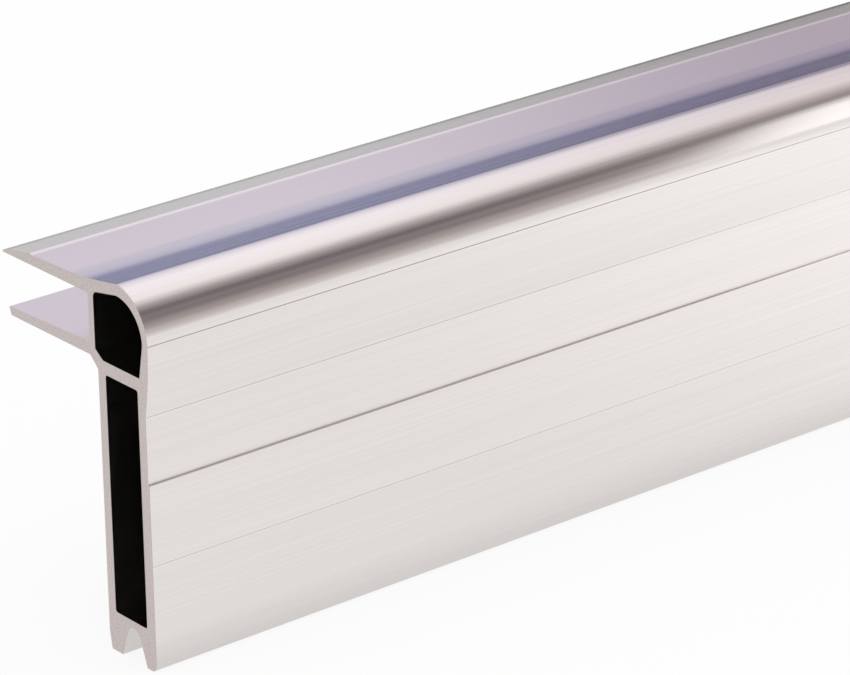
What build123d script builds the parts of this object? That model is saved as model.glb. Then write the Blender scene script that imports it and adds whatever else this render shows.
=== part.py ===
from build123d import *
import math
import os

# Panel-edge profile: one extruded length of aluminium with the same section all the way along.
# A head with a big rounded corner carries two flanges that grip the edge of a panel, and a
# hollow skirt hangs below it and ends in a forked foot. Lengths are millimetres.
# X runs along the length, the show face looks towards -Y, and the part stands on its foot.

# Stock
length = 1000.0

# Panel slot and its two flanges
slot_height = 7.0
slot_depth = 19.8
flange_root = 1.9  # thickness of a flange where it leaves the head
flange_edge = 1.55  # thickness of the upper flange where its bevel starts
edge_bevel = 6.4  # run of the bevel that feathers the upper flange
edge_tip = 0.35  # thickness left at the feathered edge
lower_flange_edge = 1.2  # thickness of the lower flange at its outer edge
lower_flange_setback = 0.9  # how much shorter the lower flange is
lower_edge_slant = 0.5
slot_root_radius = 0.4

# Head
head_depth = 13.2
corner_radius = 7.2
crown_rise = 1.4  # height of the top of the corner's circle above the upper flange
crown_setback = 6.2  # where the corner ends and the slope to the flange starts
crown_run = 7.9  # run of that slope
crown_edge_radius = 2.0  # easing of the crown, between the corner and the slope
flange_root_radius = 45.0  # soft hollow where the slope runs out into the flange
cheek_height = 10.2  # face below the corner that curves in to the skirt

# Upper chamber, inside the head
chamber_radius = 5.5
crown_wall = 1.8
front_wall = 1.2
slot_wall = 1.2
chamber_roof_fall = 1.0
chamber_front_lean = 0.9
chamber_back_radius = 1.0
chamber_cut_run = 1.7
chamber_cut_rise = 1.2
web_thickness = 1.9  # floor of the upper chamber

# Skirt
skirt_height = 42.8  # from the floor to the underside of the lower flange
skirt_depth = 10.5
skirt_setback = 1.0  # how far its face stands behind the corner
skirt_wall = 1.65
skirt_corner_radius = 0.4
neck_drop = 1.6  # slope from the lower flange to the back of the skirt

# Guide line and the thicker land below it
guide_height = 27.9
guide_width = 0.3
guide_depth = 0.2
land_thickness = 0.25

# Forked foot
foot_height = 6.0
toe_radius = 1.2
toe_flat = 1.0  # width of the front leg's sole
heel_height = 2.6
heel_taper = 0.45
groove_mouth = 5.6
groove_depth = 4.9
groove_roof_radius = 1.5

# Levels, measured up from the floor
slot_floor = skirt_height + flange_root
slot_roof = slot_floor + slot_height
flange_top = slot_roof + flange_root
crown_level = flange_top + crown_rise
corner_level = crown_level - corner_radius
cheek_level = corner_level - cheek_height

# Stations, measured back from the rounded corner's foremost line
overall_depth = head_depth + slot_depth
skirt_back = skirt_setback + skirt_depth
land_front = skirt_setback - land_thickness
lower_edge = overall_depth - lower_flange_setback
rise_foot = crown_setback + crown_run
groove_middle = land_front + toe_radius + toe_flat + groove_mouth / 2


def draw_outline():
    """Outer outline, from the crown down the show face, round the foot and up the back."""
    crown_angle = math.degrees(math.acos((crown_setback - corner_radius) / corner_radius))
    cheek_top = (0, corner_level)
    cheek_foot = (skirt_setback, cheek_level)
    CenterArc((corner_radius, corner_level), corner_radius, crown_angle, 180 - crown_angle)
    TangentArc(cheek_top, cheek_foot, tangent=(0, -1))
    Polyline(
        cheek_foot,
        (skirt_setback, guide_height + guide_width / 2),
        (skirt_setback + guide_depth, guide_height + guide_width / 2),
        (skirt_setback + guide_depth, guide_height - guide_width / 2),
        (land_front, guide_height - guide_width / 2),
        (land_front, toe_radius),
    )
    CenterArc((land_front + toe_radius, toe_radius), toe_radius, 180, 90)
    Polyline(
        (land_front + toe_radius, 0),
        (skirt_back - heel_taper, 0),
        (skirt_back, heel_height),
        (skirt_back, skirt_height - neck_drop),
        (head_depth, skirt_height),
        (lower_edge - lower_edge_slant, skirt_height),
        (lower_edge, skirt_height + lower_flange_edge),
        (head_depth, slot_floor),
        (head_depth, slot_roof),
        (overall_depth, slot_roof),
        (overall_depth, slot_roof + edge_tip),
        (overall_depth - edge_bevel, slot_roof + flange_edge),
        (rise_foot, flange_top),
        (crown_setback, corner_level + corner_radius * math.sin(math.radians(crown_angle))),
    )


def draw_upper_chamber():
    """Outline of the chamber in the head, which follows the rounded corner."""
    centre = (front_wall + chamber_radius, crown_level - crown_wall - chamber_radius)
    roof = (centre[0], centre[1] + chamber_radius)
    front = (front_wall, centre[1])
    back = head_depth - slot_wall
    CenterArc(centre, chamber_radius, 90, 90)
    Polyline(
        front,
        (front_wall + chamber_front_lean, skirt_height),
        (back - chamber_cut_run, skirt_height),
        (back, skirt_height + chamber_cut_rise),
        (back, roof[1] - chamber_roof_fall),
        roof,
    )


section_plane = Plane(
    origin=(-length / 2, -overall_depth / 2, 0), x_dir=(0, 1, 0), z_dir=(1, 0, 0)
)

with BuildPart() as edge_profile:
    with BuildSketch(section_plane) as section:
        with BuildLine():
            draw_outline()
        make_face()

        # The slope down from the crown is eased at its top and runs out softly into the flange
        for station, radius in (
            (rise_foot, flange_root_radius),
            (crown_setback, crown_edge_radius),
        ):
            slope_end = section.vertices().filter_by_position(
                Axis.X, station - 0.01, station + 0.01
            ).sort_by(Axis.Y)[-1]
            fillet(slope_end, radius)

        # The slot's two inner corners are eased
        slot_corners = section.vertices().filter_by_position(
            Axis.X, head_depth - 0.01, head_depth + 0.01
        ).filter_by_position(Axis.Y, slot_floor - 0.01, slot_roof + 0.01)
        fillet(slot_corners, slot_root_radius)

        # Upper chamber, with a round corner where its roof meets the slot wall
        with BuildSketch(mode=Mode.PRIVATE) as upper_chamber:
            with BuildLine():
                draw_upper_chamber()
            make_face()
            fillet(
                upper_chamber.vertices().group_by(Axis.X)[-1].sort_by(Axis.Y)[-1],
                chamber_back_radius,
            )
        add(upper_chamber.sketch_local, mode=Mode.SUBTRACT)

        # Lower chamber, the hollow of the skirt
        chamber_width = skirt_depth - 2 * skirt_wall
        chamber_height = skirt_height - web_thickness - foot_height
        with Locations(
            (
                skirt_setback + skirt_wall + chamber_width / 2,
                foot_height + chamber_height / 2,
            )
        ):
            RectangleRounded(
                chamber_width, chamber_height, skirt_corner_radius, mode=Mode.SUBTRACT
            )

        # Groove that forks the foot: slanting sides up to a round roof
        with BuildSketch(mode=Mode.PRIVATE) as groove:
            with Locations((groove_middle, groove_depth - groove_roof_radius)):
                Circle(groove_roof_radius)
            with BuildLine():
                Line(
                    (groove_middle - groove_mouth / 2, 0),
                    (groove_middle + groove_mouth / 2, 0),
                )
            make_hull()
        add(groove.sketch_local, mode=Mode.SUBTRACT)
    extrude(amount=length)

edge_profile.part.label = "edge_profile"

os.makedirs("parts", exist_ok=True)
export_step(edge_profile.part, "parts/edge_profile.step")
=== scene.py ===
import bmesh
import bpy
import math
from mathutils import Matrix, Vector


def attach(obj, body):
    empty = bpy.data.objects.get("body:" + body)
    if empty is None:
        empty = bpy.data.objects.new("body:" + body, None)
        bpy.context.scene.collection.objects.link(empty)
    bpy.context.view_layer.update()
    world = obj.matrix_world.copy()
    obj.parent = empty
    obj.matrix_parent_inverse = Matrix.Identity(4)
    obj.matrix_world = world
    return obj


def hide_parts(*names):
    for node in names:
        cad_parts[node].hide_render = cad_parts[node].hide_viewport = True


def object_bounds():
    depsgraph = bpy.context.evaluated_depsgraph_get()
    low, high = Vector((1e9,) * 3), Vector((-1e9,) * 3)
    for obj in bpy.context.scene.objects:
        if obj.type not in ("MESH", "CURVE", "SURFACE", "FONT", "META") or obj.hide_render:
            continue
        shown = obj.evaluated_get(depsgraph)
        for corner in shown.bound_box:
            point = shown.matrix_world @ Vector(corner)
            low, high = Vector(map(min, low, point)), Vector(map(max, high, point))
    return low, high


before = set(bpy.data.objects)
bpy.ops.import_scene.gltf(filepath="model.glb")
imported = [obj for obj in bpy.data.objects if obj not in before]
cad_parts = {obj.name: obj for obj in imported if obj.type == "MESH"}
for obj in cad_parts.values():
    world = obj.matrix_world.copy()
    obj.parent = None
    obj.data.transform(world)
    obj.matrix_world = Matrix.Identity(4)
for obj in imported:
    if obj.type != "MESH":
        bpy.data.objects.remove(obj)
scene = bpy.context.scene
cad_low, cad_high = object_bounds()
mm = 0.001

# Camera: it stands to the left of the cut end and above it, far back behind a long lens, so the
# cut face shows whole and the bar runs out of the picture on the right. A slight roll, as in the
# photograph.
camera_place = Vector((-824.65, -475.99, 281.58)) * mm
camera_azimuth = math.radians(-38.946)
camera_elevation = math.radians(22.526)
camera_roll = math.radians(-0.901)

camera_data = bpy.data.cameras.new("camera")
camera_data.lens = 196.91
camera_data.sensor_width = 36.0
camera_data.clip_start = 0.01
camera = bpy.data.objects.new("camera", camera_data)
scene.collection.objects.link(camera)
scene.camera = camera
towards_camera = Vector((
    math.sin(camera_azimuth) * math.cos(camera_elevation),
    -math.cos(camera_azimuth) * math.cos(camera_elevation),
    math.sin(camera_elevation),
))
level = towards_camera.to_track_quat("Z", "Y").to_matrix()
camera.matrix_world = (
    Matrix.Translation(camera_place)
    @ (level @ Matrix.Rotation(camera_roll, 3, "Z")).to_4x4()
)

# Bar: one length of extruded aluminium, pressed through a die and cut off at both ends. The
# section is drawn here with the die's small corner radii and the shallow lines that the die leaves
# along the show face, then drawn out to the length of the CAD bar.
head_depth = 13.2 * mm
slot_depth = 19.8 * mm
slot_height = 7.0 * mm
flange_root = 1.9 * mm
flange_edge = 1.55 * mm
edge_bevel = 6.4 * mm
edge_tip = 0.35 * mm
lower_flange_edge = 1.2 * mm
lower_flange_setback = 0.9 * mm
lower_edge_slant = 0.5 * mm
slot_root_radius = 0.4 * mm
corner_radius = 7.2 * mm
crown_rise = 1.4 * mm
crown_setback = 6.2 * mm
crown_run = 7.9 * mm
crown_edge_radius = 2.0 * mm
flange_root_radius = 45.0 * mm
cheek_height = 10.2 * mm
chamber_radius = 5.5 * mm
crown_wall = 1.8 * mm
front_wall = 1.2 * mm
slot_wall = 1.2 * mm
chamber_roof_fall = 1.0 * mm
chamber_front_lean = 0.9 * mm
chamber_back_radius = 1.0 * mm
chamber_cut_run = 1.7 * mm
chamber_cut_rise = 1.2 * mm
web_thickness = 1.9 * mm
skirt_height = 42.8 * mm
skirt_depth = 10.5 * mm
skirt_setback = 1.0 * mm
skirt_wall = 1.65 * mm
skirt_corner_radius = 0.4 * mm
neck_drop = 1.6 * mm
guide_height = 27.9 * mm
guide_width = 0.28 * mm
guide_depth = 0.1 * mm
land_thickness = 0.25 * mm
foot_height = 6.0 * mm
toe_radius = 1.2 * mm
toe_flat = 1.0 * mm
heel_height = 2.6 * mm
heel_taper = 0.45 * mm
groove_mouth = 5.6 * mm
groove_depth = 4.9 * mm
groove_roof_radius = 1.5 * mm

die_corner = 0.12 * mm  # radius that the die leaves on a crisp edge
line_spread = 1.1  # half the width of a die line on the show face, over its depth
radius_line = (47.9 * mm, 0.05 * mm)  # height and depth of the line where the rounded corner ends
cheek_line = (37.5 * mm, 0.026 * mm)
land_line = (15.85 * mm, 0.02 * mm)
flange_line_station = 16.9 * mm  # the flange's face tilts a little here
flange_line_tilt = math.radians(2.0)
flange_line_radius = 6.0 * mm
crease_bead_setback = 0.12 * mm
crease_bead_width = 0.55 * mm
crease_bead_rise = 0.14 * mm
edge_roll_width = 1.35 * mm
edge_roll_drop = 0.09 * mm
edge_roll_radius = 18.0 * mm
guide_lip_radius = die_corner / 3
guide_root_radius = die_corner / 2
edge_tip_radius = die_corner / 2
arc_step = math.radians(1.5)
small_radius = 1.0 * mm  # radii under this are drawn in fewer steps
small_arc_step = math.radians(12)

slot_floor = skirt_height + flange_root
slot_roof = slot_floor + slot_height
flange_top = slot_roof + flange_root
crown_level = flange_top + crown_rise
corner_level = crown_level - corner_radius
overall_depth = head_depth + slot_depth
skirt_back = skirt_setback + skirt_depth
land_front = skirt_setback - land_thickness
lower_edge = overall_depth - lower_flange_setback
rise_foot = crown_setback + crown_run
groove_middle = land_front + toe_radius + toe_flat + groove_mouth / 2


def arc(centre, radius, start, sweep):
    """Points round a circle, from the start angle through the sweep, both in radians."""
    steps = max(2, math.ceil(abs(sweep) / arc_step))
    angles = [start + sweep * i / steps for i in range(steps + 1)]
    return [
        (centre[0] + radius * math.cos(a), centre[1] + radius * math.sin(a), 0.0)
        for a in angles
    ]


def eased(corners):
    """A closed outline of (station, height, radius) corners, with each corner rounded by its radius."""
    outline = []
    for i, (station, height, radius) in enumerate(corners):
        here = Vector((station, height))
        before = Vector(corners[i - 1][:2]) - here
        after = Vector(corners[(i + 1) % len(corners)][:2]) - here
        turn = math.pi - before.angle(after)
        if radius == 0 or turn < arc_step:
            outline.append(here)
            continue
        reach = radius * math.tan(turn / 2)
        start, end = here + before.normalized() * reach, here + after.normalized() * reach
        inward = (before.normalized() + after.normalized()).normalized()
        centre = here + inward * (radius / math.cos(turn / 2))
        step = small_arc_step if radius < small_radius else arc_step
        steps = max(2, math.ceil(turn / step))
        from_centre, to_centre = start - centre, end - centre
        for k in range(steps + 1):
            share = k / steps
            a, b = math.sin((1 - share) * turn), math.sin(share * turn)
            outline.append(centre + (from_centre * a + to_centre * b) / math.sin(turn))
    return outline


def die_line(line, station):
    """A shallow groove that the die leaves along a wall, as three corners from the top down."""
    height, depth = line
    return [
        (station, height + depth * line_spread, 0.0),
        (station + depth, height, 0.0),
        (station, height - depth * line_spread, 0.0),
    ]


corner_centre = (corner_radius, corner_level)
crown_angle = math.acos((crown_setback - corner_radius) / corner_radius)
slope_fall = corner_level + corner_radius * math.sin(crown_angle) - flange_top
slope_facing = math.atan2(crown_run, slope_fall)
slope_reach = corner_radius * math.cos(crown_angle - slope_facing)
crown_inset = corner_radius - crown_edge_radius
crown_turn = math.acos((slope_reach - crown_edge_radius) / crown_inset)
corner_start = slope_facing + crown_turn
crown_centre = (
    corner_centre[0] + crown_inset * math.cos(corner_start),
    corner_centre[1] + crown_inset * math.sin(corner_start),
)
cheek_radius = (skirt_setback**2 + cheek_height**2) / (2 * skirt_setback)
cheek_sweep = math.asin(cheek_height / cheek_radius)
corner_end = math.pi - (radius_line[0] + 2 * radius_line[1] - corner_level) / corner_radius
flange_lean = (flange_root - flange_edge) / (overall_depth - edge_bevel - rise_foot)
tilted_lean = math.tan(math.atan(flange_lean) + flange_line_tilt)
slope_lean = slope_fall / crown_run
flange_line_run = flange_line_station - rise_foot
flange_line_level = flange_top - flange_line_run * flange_lean
root_run = (flange_line_level + flange_line_run * tilted_lean - flange_top) / (slope_lean - tilted_lean)
crease_station = overall_depth - edge_bevel - crease_bead_setback
bevel_fall = (flange_edge + crease_bead_rise - edge_tip) / (edge_bevel + crease_bead_setback)
roll_top = slot_roof + edge_tip + edge_roll_width * bevel_fall
groove_centre = (groove_middle, groove_depth - groove_roof_radius)
groove_reach = math.hypot(groove_mouth / 2, groove_centre[1])
groove_lean = math.atan2(groove_centre[1], groove_mouth / 2)
groove_lean += math.asin(groove_roof_radius / groove_reach)

outside = (
    arc(crown_centre, crown_edge_radius, slope_facing, crown_turn)
    + arc(corner_centre, corner_radius, corner_start, corner_end - corner_start)[1:]
    + die_line(radius_line, 0.0)
    + arc((cheek_radius, corner_level), cheek_radius, math.pi, cheek_sweep)[1:]
    + die_line(cheek_line, skirt_setback)
    + [
        (skirt_setback, guide_height + guide_width / 2, guide_lip_radius),
        (skirt_setback + guide_depth, guide_height + guide_width / 2, guide_root_radius),
        (skirt_setback + guide_depth, guide_height - guide_width / 2, die_corner),
        (land_front, guide_height - guide_width / 2, die_corner),
    ]
    + die_line(land_line, land_front)
    + [
        (land_front, 0.0, toe_radius),
        (land_front + toe_radius + toe_flat, 0.0, die_corner),
    ]
    + arc(groove_centre, groove_roof_radius, groove_lean + math.pi / 2, -2 * groove_lean)
    + [
        (groove_middle + groove_mouth / 2, 0.0, die_corner),
        (skirt_back - heel_taper, 0.0, die_corner),
        (skirt_back, heel_height, die_corner),
        (skirt_back, skirt_height - neck_drop, die_corner),
        (head_depth, skirt_height, die_corner),
        (lower_edge - lower_edge_slant, skirt_height, die_corner),
        (lower_edge, skirt_height + lower_flange_edge, die_corner),
        (head_depth, slot_floor, slot_root_radius),
        (head_depth, slot_roof, slot_root_radius),
        (overall_depth, slot_roof, edge_tip_radius),
        (overall_depth, slot_roof + edge_tip - edge_roll_drop, edge_tip_radius),
        (overall_depth - edge_roll_width, roll_top, edge_roll_radius),
        (crease_station, slot_roof + flange_edge + crease_bead_rise, die_corner),
        (crease_station - crease_bead_width, slot_roof + flange_edge, die_corner),
        (flange_line_station, flange_line_level, flange_line_radius),
        (rise_foot - root_run, flange_top + root_run * slope_lean, flange_root_radius),
    ]
)

chamber_centre = (front_wall + chamber_radius, crown_level - crown_wall - chamber_radius)
chamber_roof = chamber_centre[1] + chamber_radius
chamber_back = head_depth - slot_wall
head_chamber = arc(chamber_centre, chamber_radius, math.pi / 2, math.pi / 2) + [
    (front_wall + chamber_front_lean, skirt_height, die_corner),
    (chamber_back - chamber_cut_run, skirt_height, die_corner),
    (chamber_back, skirt_height + chamber_cut_rise, die_corner),
    (chamber_back, chamber_roof - chamber_roof_fall, chamber_back_radius),
]

skirt_front_wall = skirt_setback + skirt_wall
skirt_back_wall = skirt_back - skirt_wall
skirt_roof = skirt_height - web_thickness
skirt_chamber = [
    (skirt_front_wall, skirt_roof, skirt_corner_radius),
    (skirt_front_wall, foot_height, skirt_corner_radius),
    (skirt_back_wall, foot_height, skirt_corner_radius),
    (skirt_back_wall, skirt_roof, skirt_corner_radius),
]

section = bmesh.new()
for loop in (outside, head_chamber, skirt_chamber):
    points = [section.verts.new((p[0], p[1], 0.0)) for p in eased(loop)]
    for i, point in enumerate(points):
        section.edges.new((points[i - 1], point))
section_mesh = bpy.data.meshes.new("section")
section.to_mesh(section_mesh)
section.free()


def add_node(tree, kind, **settings):
    """A new node; a setting named after a socket with in_ before it sets that socket's value."""
    node = tree.nodes.new(kind)
    for name, value in settings.items():
        if name.startswith("in_"):
            node.inputs[name[3:].replace("_", " ")].default_value = value
        else:
            setattr(node, name, value)
    return node


weld_distance = 1e-6
end_facing = 0.5  # a face that looks along the bar by more than this is a cut end
sharp_above = math.radians(30)


def draw_out_tree():
    """Geometry Nodes that fill a closed section and draw it out into a bar along X."""
    tree = bpy.data.node_groups.new("draw_out", "GeometryNodeTree")
    for name, kind in (
        ("Geometry", "NodeSocketGeometry"),
        ("Length", "NodeSocketFloat"),
        ("Depth", "NodeSocketFloat"),
        ("Sharp Above", "NodeSocketFloat"),
        ("Walls", "NodeSocketMaterial"),
        ("Cut Ends", "NodeSocketMaterial"),
    ):
        tree.interface.new_socket(name, in_out="INPUT", socket_type=kind)
    tree.interface.new_socket("Geometry", in_out="OUTPUT", socket_type="NodeSocketGeometry")
    link = tree.links.new
    given = tree.nodes.new("NodeGroupInput")
    result = tree.nodes.new("NodeGroupOutput")

    outline = add_node(tree, "GeometryNodeMeshToCurve")
    filled = add_node(tree, "GeometryNodeFillCurve")
    link(given.outputs["Geometry"], outline.inputs["Mesh"])
    link(outline.outputs["Curve"], filled.inputs["Curve"])

    drawn = add_node(tree, "GeometryNodeExtrudeMesh", mode="FACES", in_Individual=False)
    link(filled.outputs["Mesh"], drawn.inputs["Mesh"])
    along = add_node(tree, "ShaderNodeCombineXYZ")
    link(given.outputs["Length"], along.inputs["Z"])
    link(along.outputs["Vector"], drawn.inputs["Offset"])
    near_end = add_node(tree, "GeometryNodeFlipFaces")
    link(filled.outputs["Mesh"], near_end.inputs["Mesh"])
    both = add_node(tree, "GeometryNodeJoinGeometry")
    link(drawn.outputs["Mesh"], both.inputs["Geometry"])
    link(near_end.outputs["Mesh"], both.inputs["Geometry"])
    closed = add_node(tree, "GeometryNodeMergeByDistance", in_Distance=weld_distance)
    link(both.outputs["Geometry"], closed.inputs["Geometry"])

    half = add_node(tree, "ShaderNodeVectorMath", operation="SCALE", in_Scale=-0.5)
    spans = add_node(tree, "ShaderNodeCombineXYZ")
    link(given.outputs["Length"], spans.inputs["X"])
    link(given.outputs["Depth"], spans.inputs["Y"])
    link(spans.outputs["Vector"], half.inputs[0])
    laid = add_node(tree, "GeometryNodeTransform")
    laid.inputs["Rotation"].default_value = (math.pi / 2, 0.0, math.pi / 2)
    link(closed.outputs["Geometry"], laid.inputs["Geometry"])
    link(half.outputs["Vector"], laid.inputs["Translation"])

    smooth = add_node(tree, "GeometryNodeSetShadeSmooth", domain="FACE")
    angle = add_node(tree, "GeometryNodeInputMeshEdgeAngle")
    crisp = add_node(tree, "FunctionNodeCompare", operation="GREATER_THAN")
    sharp = add_node(tree, "GeometryNodeSetShadeSmooth", domain="EDGE")
    sharp.inputs["Shade Smooth"].default_value = False
    link(laid.outputs["Geometry"], smooth.inputs["Geometry"])
    link(angle.outputs["Unsigned Angle"], crisp.inputs["A"])
    link(given.outputs["Sharp Above"], crisp.inputs["B"])
    link(smooth.outputs["Geometry"], sharp.inputs["Geometry"])
    link(crisp.outputs["Result"], sharp.inputs["Selection"])

    facing = add_node(tree, "GeometryNodeInputNormal")
    parts = add_node(tree, "ShaderNodeSeparateXYZ")
    size = add_node(tree, "ShaderNodeMath", operation="ABSOLUTE")
    at_end = add_node(tree, "FunctionNodeCompare", operation="GREATER_THAN", in_B=end_facing)
    link(facing.outputs["Normal"], parts.inputs["Vector"])
    link(parts.outputs["X"], size.inputs[0])
    link(size.outputs[0], at_end.inputs["A"])

    real = add_node(tree, "GeometryNodeRealizeInstances")
    walls = add_node(tree, "GeometryNodeSetMaterial")
    ends = add_node(tree, "GeometryNodeSetMaterial")
    link(sharp.outputs["Geometry"], real.inputs["Geometry"])
    link(real.outputs["Geometry"], walls.inputs["Geometry"])
    link(given.outputs["Walls"], walls.inputs["Material"])
    link(walls.outputs["Geometry"], ends.inputs["Geometry"])
    link(at_end.outputs["Result"], ends.inputs["Selection"])
    link(given.outputs["Cut Ends"], ends.inputs["Material"])
    link(ends.outputs["Geometry"], result.inputs["Geometry"])
    return tree


def new_material(name):
    """A material with only a Principled BSDF on its output, and that shader."""
    material = bpy.data.materials.new(name)
    material.use_nodes = True
    return material, material.node_tree, material.node_tree.nodes["Principled BSDF"]


mill_colour = (0.83, 0.79, 0.775)
mill_roughness = 0.125
mill_anisotropy = 0.4
mill_relief = 0.006 * mm
streak_stretch = 0.004  # how little the streaks change along the bar, over how much across it
streak_tone = 0.19
streak_gloss = 0.12
band_scale = 320.0
line_scale = 2400.0
line_share = 0.7  # of the fine lines in the streaks, the rest is the broad bands

mill_finish, tree, shader = new_material("mill_finish")
link = tree.links.new
shader.inputs["Metallic"].default_value = 1.0
shader.inputs["Anisotropic"].default_value = mill_anisotropy
place = add_node(tree, "ShaderNodeTexCoord")
stretched = add_node(tree, "ShaderNodeVectorMath", operation="MULTIPLY")
stretched.inputs[1].default_value = (streak_stretch, 1.0, 1.0)
link(place.outputs["Object"], stretched.inputs[0])
bands = add_node(tree, "ShaderNodeTexNoise", in_Scale=band_scale, in_Detail=2.0, in_Roughness=0.6)
lines = add_node(tree, "ShaderNodeTexNoise", in_Scale=line_scale, in_Detail=3.0, in_Roughness=0.65)
link(stretched.outputs["Vector"], bands.inputs["Vector"])
link(stretched.outputs["Vector"], lines.inputs["Vector"])
mixed = add_node(tree, "ShaderNodeMix", data_type="FLOAT")
mixed.inputs["Factor"].default_value = line_share
link(bands.outputs["Fac"], mixed.inputs["A"])
link(lines.outputs["Fac"], mixed.inputs["B"])
streaks = add_node(tree, "ShaderNodeMath", operation="SUBTRACT")
streaks.inputs[1].default_value = 0.5
link(mixed.outputs["Result"], streaks.inputs[0])
tone = add_node(tree, "ShaderNodeMath", operation="MULTIPLY_ADD")
tone.inputs[1].default_value = streak_tone
tone.inputs[2].default_value = 1.0
link(streaks.outputs[0], tone.inputs[0])
colour = add_node(tree, "ShaderNodeVectorMath", operation="SCALE")
colour.inputs[0].default_value = mill_colour
link(tone.outputs[0], colour.inputs["Scale"])
link(colour.outputs["Vector"], shader.inputs["Base Color"])
gloss = add_node(tree, "ShaderNodeMath", operation="MULTIPLY_ADD")
gloss.inputs[1].default_value = streak_gloss
gloss.inputs[2].default_value = mill_roughness
link(streaks.outputs[0], gloss.inputs[0])
link(gloss.outputs[0], shader.inputs["Roughness"])
relief = add_node(tree, "ShaderNodeBump", in_Strength=1.0, in_Distance=mill_relief)
link(lines.outputs["Fac"], relief.inputs["Height"])
link(relief.outputs["Normal"], shader.inputs["Normal"])
across = add_node(tree, "ShaderNodeTangent", direction_type="RADIAL", axis="X")
link(across.outputs["Tangent"], shader.inputs["Tangent"])

saw_colour = (0.84, 0.75, 0.725, 1.0)
saw_dark = (0.61, 0.54, 0.52, 1.0)
saw_dark_until = 0.36
saw_colour_from = 0.62
saw_roughness = 0.42
saw_relief = 0.02 * mm
grain_scale = 4600.0
ring_shift = (0.0, 0.09, 0.12)  # puts the middle of the saw's rings in front of the bar and below it
ring_scale = 260.0
ring_wobble = 6.0
ring_share = 0.6  # height of the rings in the relief, over that of the grain

saw_cut, tree, shader = new_material("saw_cut")
link = tree.links.new
shader.inputs["Metallic"].default_value = 1.0
shader.inputs["Roughness"].default_value = saw_roughness
place = add_node(tree, "ShaderNodeTexCoord")
grain = add_node(tree, "ShaderNodeTexNoise", in_Scale=grain_scale, in_Detail=3.0, in_Roughness=0.6)
link(place.outputs["Object"], grain.inputs["Vector"])
speckle = add_node(tree, "ShaderNodeValToRGB")
speckle.color_ramp.elements[0].position = saw_dark_until
speckle.color_ramp.elements[0].color = saw_dark
speckle.color_ramp.elements[1].position = saw_colour_from
speckle.color_ramp.elements[1].color = saw_colour
link(grain.outputs["Fac"], speckle.inputs["Fac"])
link(speckle.outputs["Color"], shader.inputs["Base Color"])
teeth = add_node(tree, "ShaderNodeMapping")
teeth.inputs["Location"].default_value = ring_shift
rings = add_node(tree, "ShaderNodeTexWave", wave_type="RINGS", rings_direction="X", in_Detail=3.0)
rings.inputs["Scale"].default_value = ring_scale
rings.inputs["Distortion"].default_value = ring_wobble
link(place.outputs["Object"], teeth.inputs["Vector"])
link(teeth.outputs["Vector"], rings.inputs["Vector"])
height = add_node(tree, "ShaderNodeMath", operation="MULTIPLY_ADD")
height.inputs[1].default_value = ring_share
link(rings.outputs["Fac"], height.inputs[0])
link(grain.outputs["Fac"], height.inputs[2])
relief = add_node(tree, "ShaderNodeBump", in_Strength=1.0, in_Distance=saw_relief)
link(height.outputs[0], relief.inputs["Height"])
link(relief.outputs["Normal"], shader.inputs["Normal"])

bar = bpy.data.objects.new("edge_profile_bar", section_mesh)
scene.collection.objects.link(bar)
draw_out = bar.modifiers.new("draw_out", "NODES")
draw_out.node_group = draw_out_tree()
inputs = {
    "Length": cad_high.x - cad_low.x,
    "Depth": overall_depth,
    "Sharp Above": sharp_above,
    "Walls": mill_finish,
    "Cut Ends": saw_cut,
}
for socket in draw_out.node_group.interface.items_tree:
    if socket.in_out == "INPUT" and socket.name in inputs:
        draw_out[socket.identifier] = inputs[socket.name]
weighted = bar.modifiers.new("weighted_normals", "WEIGHTED_NORMAL")
weighted.keep_sharp = True

depsgraph = bpy.context.evaluated_depsgraph_get()
bar_mesh = bpy.data.meshes.new_from_object(bar.evaluated_get(depsgraph))
bar.modifiers.clear()
bar.data = bar_mesh
bar_mesh.name = "edge_profile_bar"
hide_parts("edge_profile")
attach(bar, "root")

# Floor: a plain studio floor that runs past every view, white to the camera, with the bar's soft
# shadow left on it. The metal mirrors it in painted tones that were set against the photograph:
# a painted pool of light in front, painted shade close to the foot and behind the bar.
floor_half = 12.0
floor_colour = (0.95, 0.95, 0.95, 1.0)
floor_roughness = 0.9
floor_white = 0.88  # share of its own white that the floor shows
mirrored_tone = 0.92  # that white where the metal mirrors it, a painted reflection tone, away from the painted pool of light, foot shade and dark area behind
painted_light_pool_place = (-0.25, -0.08, 0.0)  # painted light: the mirrored floor is painted brighter here, in front of the bar
painted_light_pool_radius = 0.19
painted_light_pool_tone = 1.17
foot_line = -0.0155  # painted shadow: the mirrored floor is painted darker close in front of the bar's foot
painted_foot_shade_end = -0.0275
painted_foot_shade = 0.85
painted_dark_from = 0.16  # painted dark reflection: behind the bar the mirrored floor is painted darker, most of all towards the far end
painted_dark_to = 0.32
painted_dark_near_x = -0.1
painted_dark_far_x = 0.22
painted_dark_near_tone = 0.5
painted_dark_far_tone = 0.04


def fade(tree, source, start, end, low=0.0, high=1.0):
    """A smooth change from low, where the source is at start, to high at end."""
    fading = add_node(tree, "ShaderNodeMapRange", interpolation_type="SMOOTHSTEP")
    fading.inputs["From Min"].default_value = start
    fading.inputs["From Max"].default_value = end
    fading.inputs["To Min"].default_value = low
    fading.inputs["To Max"].default_value = high
    tree.links.new(source, fading.inputs["Value"])
    return fading.outputs["Result"]


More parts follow.
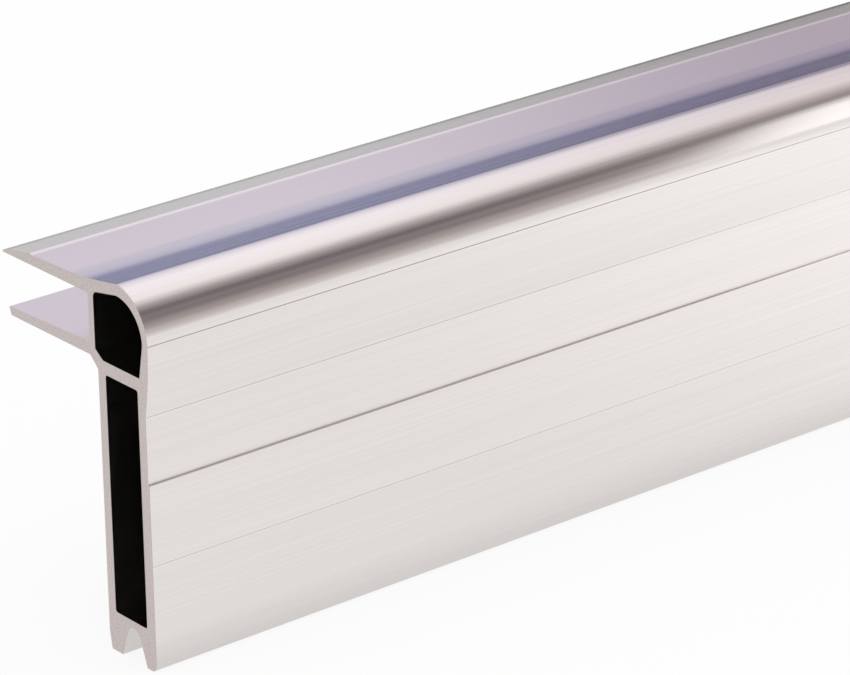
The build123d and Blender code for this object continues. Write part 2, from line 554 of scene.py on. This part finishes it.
floor_shape = bmesh.new()
bmesh.ops.create_grid(floor_shape, x_segments=1, y_segments=1, size=floor_half)
floor_mesh = bpy.data.meshes.new("floor")
floor_shape.to_mesh(floor_mesh)
floor_shape.free()
floor = bpy.data.objects.new("floor", floor_mesh)
scene.collection.objects.link(floor)
floor_paint, tree, shader = new_material("floor_paint")
link = tree.links.new
shader.inputs["Base Color"].default_value = floor_colour
shader.inputs["Roughness"].default_value = floor_roughness
shader.inputs["Specular IOR Level"].default_value = 0.0
rays = add_node(tree, "ShaderNodeLightPath")
seen = add_node(tree, "ShaderNodeMath", operation="MAXIMUM")
seen_all = add_node(tree, "ShaderNodeMath", operation="MAXIMUM")
share = add_node(tree, "ShaderNodeMath", operation="MULTIPLY")
share.inputs[1].default_value = floor_white
white = add_node(tree, "ShaderNodeEmission")
blend = add_node(tree, "ShaderNodeMixShader")
link(rays.outputs["Is Camera Ray"], seen.inputs[0])
link(rays.outputs["Is Glossy Ray"], seen.inputs[1])
link(seen.outputs[0], seen_all.inputs[0])
link(rays.outputs["Is Transmission Ray"], seen_all.inputs[1])
link(seen_all.outputs[0], share.inputs[0])
link(share.outputs[0], blend.inputs["Fac"])
link(shader.outputs["BSDF"], blend.inputs[1])
link(white.outputs["Emission"], blend.inputs[2])
place = add_node(tree, "ShaderNodeTexCoord")
away = add_node(tree, "ShaderNodeVectorMath", operation="DISTANCE")
away.inputs[1].default_value = painted_light_pool_place
parts = add_node(tree, "ShaderNodeSeparateXYZ")
link(place.outputs["Object"], away.inputs[0])
link(place.outputs["Object"], parts.inputs["Vector"])
# painted light: a pool of light painted into the floor tone that the metal mirrors
painted_light_pool = fade(tree, away.outputs["Value"], 0.0, painted_light_pool_radius, painted_light_pool_tone, mirrored_tone)
# painted shadow: the floor tone that the metal mirrors is darker close to the foot
painted_foot_shade_fade = fade(tree, parts.outputs["Y"], foot_line, painted_foot_shade_end, painted_foot_shade, 1.0)
shaded = add_node(tree, "ShaderNodeMath", operation="MULTIPLY")
link(painted_foot_shade_fade, shaded.inputs[0])
link(painted_light_pool, shaded.inputs[1])
# painted dark reflection: the floor tone that the metal mirrors is darker behind the bar, towards the far
# end
painted_dark = fade(tree, parts.outputs["Y"], painted_dark_from, painted_dark_to)
painted_dark_tone = fade(tree, parts.outputs["X"], painted_dark_near_x, painted_dark_far_x, painted_dark_near_tone, painted_dark_far_tone)
mirrored = add_node(tree, "ShaderNodeMix", data_type="FLOAT")
link(painted_dark, mirrored.inputs["Factor"])
link(shaded.outputs[0], mirrored.inputs["A"])
link(painted_dark_tone, mirrored.inputs["B"])
toned = add_node(tree, "ShaderNodeMix", data_type="FLOAT")
toned.inputs["B"].default_value = 1.0
link(rays.outputs["Is Camera Ray"], toned.inputs["Factor"])
link(mirrored.outputs["Result"], toned.inputs["A"])
link(toned.outputs["Result"], white.inputs["Strength"])
link(blend.outputs["Shader"], tree.nodes["Material Output"].inputs["Surface"])
floor_mesh.materials.append(floor_paint)

# Light: an even white room, a soft lamp, and a tent of paper over the bar that only the metal sees.
# Its tones run round the bar from the front floor over the top to the back floor, and give the
# metal its bands. They were set by comparing renders with the photograph.
room_light = 0.75
lamp_size = 1.2
lamp_power = 4.5
lamp_place = (-0.3, -0.1, 1.2)
tent_radius = 1.6
tent_half_length = 3.0
tent_steps = 48
near_tones = (
    # degrees round from the front floor, then the paper's tone
    (0, (0.78, 0.74, 0.73)),
    (19, (0.42, 0.38, 0.37)),
    (34, (0.22, 0.19, 0.20)),
    (41, (0.26, 0.22, 0.23)),
    (49, (0.17, 0.14, 0.15)),
    (64, (0.48, 0.43, 0.44)),
    (80, (1.02, 0.98, 0.99)),
    (114, (1.08, 1.05, 1.10)),
    (146, (0.66, 0.63, 0.74)),
    (156.5, (0.78, 0.73, 0.84)),
    (160, (0.64, 0.62, 0.73)),
    (164.5, (0.60, 0.59, 0.72)),
    (169.5, (0.22, 0.24, 0.41)),
    (172.4, (0.02, 0.04, 0.22)),
    (174.2, (0.76, 0.75, 0.75)),
    (180, (0.68, 0.68, 0.67)),
)
far_tones = (
    (0, (0.62, 0.58, 0.57)),
    (34, (0.30, 0.26, 0.26)),
    (49, (0.24, 0.21, 0.21)),
    (64, (0.50, 0.45, 0.45)),
    (84, (0.86, 0.79, 0.80)),
    (122, (0.82, 0.75, 0.82)),
    (131, (0.40, 0.36, 0.44)),
    (146, (0.28, 0.25, 0.33)),
    (156.5, (0.56, 0.50, 0.59)),
    (160, (0.43, 0.38, 0.47)),
    (164.5, (0.41, 0.37, 0.48)),
    (169.5, (0.16, 0.14, 0.27)),
    (172.4, (0.01, 0.01, 0.10)),
    (174.2, (0.57, 0.55, 0.54)),
    (177, (0.57, 0.56, 0.54)),
    (178.8, (0.03, 0.03, 0.03)),
)
plain_tones = (
    (0, (0.74, 0.72, 0.72)),
    (36, (0.56, 0.54, 0.54)),
    (90, (0.98, 0.97, 0.97)),
    (144, (0.66, 0.64, 0.66)),
    (180, (0.78, 0.77, 0.77)),
)
plain_tone_until = 0.05  # plain paper up to here; the flags stand beside the bar's far half and past its end
near_tone_from = 0.36
near_tone_until = 0.58
far_tone_from = 1.04
panel_tone = (1.35, 1.34, 1.33)  # white panel low in front, towards the far end
panel_from = 0.87
panel_full = 0.98
panel_full_below = 32  # degrees
panel_none_above = 56

world = bpy.data.worlds.new("room")
world.use_nodes = True
world.node_tree.nodes["Background"].inputs["Color"].default_value = (1.0, 1.0, 1.0, 1.0)
world.node_tree.nodes["Background"].inputs["Strength"].default_value = room_light
scene.world = world

tent_shape = bmesh.new()
rails = []
for i in range(tent_steps + 1):
    around = math.pi * i / tent_steps
    y, z = -tent_radius * math.cos(around), tent_radius * math.sin(around)
    rails.append([tent_shape.verts.new((x, y, z)) for x in (-tent_half_length, tent_half_length)])
for a, b in zip(rails, rails[1:]):
    tent_shape.faces.new((a[0], a[1], b[1], b[0]))
tent_mesh = bpy.data.meshes.new("backdrop_tent")
tent_shape.to_mesh(tent_mesh)
tent_shape.free()
tent = bpy.data.objects.new("backdrop_tent", tent_mesh)
scene.collection.objects.link(tent)
tent.visible_camera = False
tent.visible_diffuse = False
tent.visible_shadow = False
tent_paper, tree, shader = new_material("tent_paper")
link = tree.links.new
tree.nodes.remove(shader)
tent_paper.cycles.emission_sampling = "NONE"
place = add_node(tree, "ShaderNodeTexCoord")
parts = add_node(tree, "ShaderNodeSeparateXYZ")
front = add_node(tree, "ShaderNodeMath", operation="MULTIPLY")
front.inputs[1].default_value = -1.0
around = add_node(tree, "ShaderNodeMath", operation="ARCTAN2")
turn = add_node(tree, "ShaderNodeMath", operation="DIVIDE")
turn.inputs[1].default_value = math.pi
link(place.outputs["Object"], parts.inputs["Vector"])
link(parts.outputs["Y"], front.inputs[0])
link(parts.outputs["Z"], around.inputs[0])
link(front.outputs[0], around.inputs[1])
link(around.outputs[0], turn.inputs[0])


def tone_ramp(tones):
    """A colour ramp round the tent, from tones given by their degrees."""
    ramp = add_node(tree, "ShaderNodeValToRGB")
    stops = ramp.color_ramp.elements
    stops.remove(stops[1])
    stops[0].position = tones[0][0] / 180
    stops[0].color = (*tones[0][1], 1.0)
    for degrees, tone in tones[1:]:
        stops.new(degrees / 180).color = (*tone, 1.0)
    link(turn.outputs[0], ramp.inputs["Fac"])
    return ramp


plain, near, far = tone_ramp(plain_tones), tone_ramp(near_tones), tone_ramp(far_tones)
flags_from = fade(tree, parts.outputs["X"], plain_tone_until, near_tone_from)
flagged = add_node(tree, "ShaderNodeMix", data_type="RGBA")
colour_a, colour_b = flagged.inputs[6], flagged.inputs[7]
link(flags_from, flagged.inputs["Factor"])
link(plain.outputs["Color"], colour_a)
link(near.outputs["Color"], colour_b)
along = fade(tree, parts.outputs["X"], near_tone_until, far_tone_from)
paper = add_node(tree, "ShaderNodeMix", data_type="RGBA")
colour_a, colour_b = paper.inputs[6], paper.inputs[7]
link(along, paper.inputs["Factor"])
link(flagged.outputs[2], colour_a)
link(far.outputs["Color"], colour_b)
panel_along = fade(tree, parts.outputs["X"], panel_from, panel_full)
panel_low = fade(tree, turn.outputs[0], panel_none_above / 180, panel_full_below / 180)
panel_share = add_node(tree, "ShaderNodeMath", operation="MULTIPLY")
link(panel_along, panel_share.inputs[0])
link(panel_low, panel_share.inputs[1])
lit = add_node(tree, "ShaderNodeMix", data_type="RGBA")
colour_a, colour_b = lit.inputs[6], lit.inputs[7]
colour_b.default_value = (*panel_tone, 1.0)
link(panel_share.outputs[0], lit.inputs["Factor"])
link(paper.outputs[2], colour_a)
glow = add_node(tree, "ShaderNodeEmission", in_Strength=1.0)
link(lit.outputs[2], glow.inputs["Color"])
link(glow.outputs["Emission"], tree.nodes["Material Output"].inputs["Surface"])
tent_mesh.materials.append(tent_paper)

lamp_data = bpy.data.lights.new("soft_lamp", "AREA")
lamp_data.shape = "DISK"
lamp_data.size = lamp_size
lamp_data.energy = lamp_power
lamp = bpy.data.objects.new("soft_lamp", lamp_data)
lamp.matrix_world = Matrix.Translation(lamp_place)
lamp.visible_glossy = False
scene.collection.objects.link(lamp)

# Picture: the plain view transform.
scene.view_settings.view_transform = "Standard"
